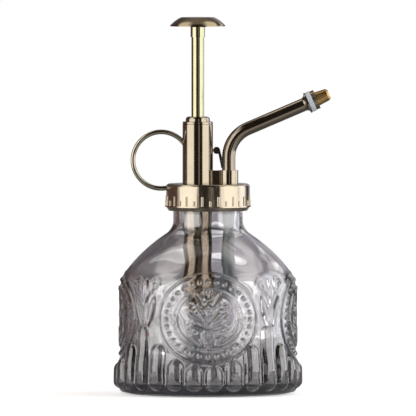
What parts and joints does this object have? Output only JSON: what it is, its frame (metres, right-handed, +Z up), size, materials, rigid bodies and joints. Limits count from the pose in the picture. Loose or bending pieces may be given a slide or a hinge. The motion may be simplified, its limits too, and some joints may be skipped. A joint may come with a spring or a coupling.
{
  "type": "hand mister",
  "caption": "Round glass spray bottle with a push-button pump, finger ring, bent spout and adjustable mist nozzle on a screw cap.",
  "frame": {"origin": "centre of the plane that the bottle stands on", "axes": "+Z up along the bottle's axis, +X the way the spout points, -X towards the finger ring"},
  "size_m": [0.0975, 0.0848, 0.169],
  "materials": {
    "clear_glass": "pressed, glossy",
    "plated_brass": "polished plate",
    "yellow_brass": "polished",
    "bronze_plate": "polished plate",
    "tip_brass": "turned",
    "white_plastic": "moulded",
    "clear_plastic": "extruded, translucent",
    "seal_rubber": "matt",
    "spring_steel": "drawn wire",
    "ball_steel": "ground"
  },
  "bodies": {
    "bottle": {"glass_bottle": "clear_glass"},
    "lid_seal": {"cap_gasket": "seal_rubber"},
    "spray_head": {"screw_cap": "plated_brass", "cap_liner": "white_plastic", "pump_carrier": "white_plastic", "pump_barrel": "plated_brass", "pump_cylinder": "yellow_brass", "gland_cap": "plated_brass", "guide_bush": "white_plastic", "return_spring": "spring_steel", "valve_block": "yellow_brass", "inlet_retainer": "white_plastic", "outlet_retainer": "white_plastic", "suction_tube": "clear_plastic", "delivery_tube": "clear_plastic", "spout_base": "plated_brass", "spout_seal": "seal_rubber", "spout_tube": "bronze_plate", "nozzle_adapter": "bronze_plate", "nozzle_washer": "white_plastic", "swirl_core": "tip_brass", "finger_ring": "bronze_plate", "spout_brace": "bronze_plate"},
    "piston_seal": {"piston_o_ring": "seal_rubber"},
    "plunger": {"thumb_button": "bronze_plate", "button_collar": "yellow_brass", "plunger_rod": "yellow_brass", "piston": "white_plastic"},
    "inlet_valve": {"inlet_ball": "ball_steel"},
    "outlet_valve": {"outlet_ball": "ball_steel"},
    "nozzle_seal": {"nozzle_o_ring": "seal_rubber"},
    "nozzle_tip": {"nozzle_cap": "tip_brass"}
  },
  "joints": [
    {"name": "cap_lift", "type": "slide", "parent": "bottle", "child": "lid_seal", "axis": [0, 0, 1], "range_m": [0, 0.00375]},
    {"name": "cap_turn", "type": "hinge", "parent": "lid_seal", "child": "spray_head", "pos_m": [0, 0, 0.0885], "axis": [0, 0, 1], "range_deg": [0, 450]},
    {"name": "plunger_press", "type": "slide", "parent": "spray_head", "child": "piston_seal", "axis": [0, 0, -1], "range_m": [0, 0.0355], "stiffness_N_per_m": 190, "springref_m": -0.016, "deforming": ["return_spring"]},
    {"name": "plunger_spin", "type": "hinge", "parent": "piston_seal", "child": "plunger", "pos_m": [-0.0046, 0, 0.114], "axis": [0, 0, 1], "continuous": true},
    {"name": "inlet_ball_lift", "type": "slide", "parent": "spray_head", "child": "inlet_valve", "axis": [0, 0, 1], "range_m": [0, 0.0012]},
    {"name": "outlet_ball_lift", "type": "slide", "parent": "spray_head", "child": "outlet_valve", "axis": [0, 0, 1], "range_m": [0, 0.001]},
    {"name": "nozzle_advance", "type": "slide", "parent": "spray_head", "child": "nozzle_seal", "axis": [0.9191, 0, 0.3939], "range_m": [0, 0.00105]},
    {"name": "nozzle_turn", "type": "hinge", "parent": "nozzle_seal", "child": "nozzle_tip", "pos_m": [0.04855, 0, 0.13212], "axis": [0.9191, 0, 0.3939], "range_deg": [0, 540]}
  ],
  "couplings": [
    {"joint": "cap_lift", "follows": "cap_turn", "m_per_rad": 0.00047746},
    {"joint": "nozzle_turn", "follows": "nozzle_advance", "rad_per_m": 8975.9}
  ]
}
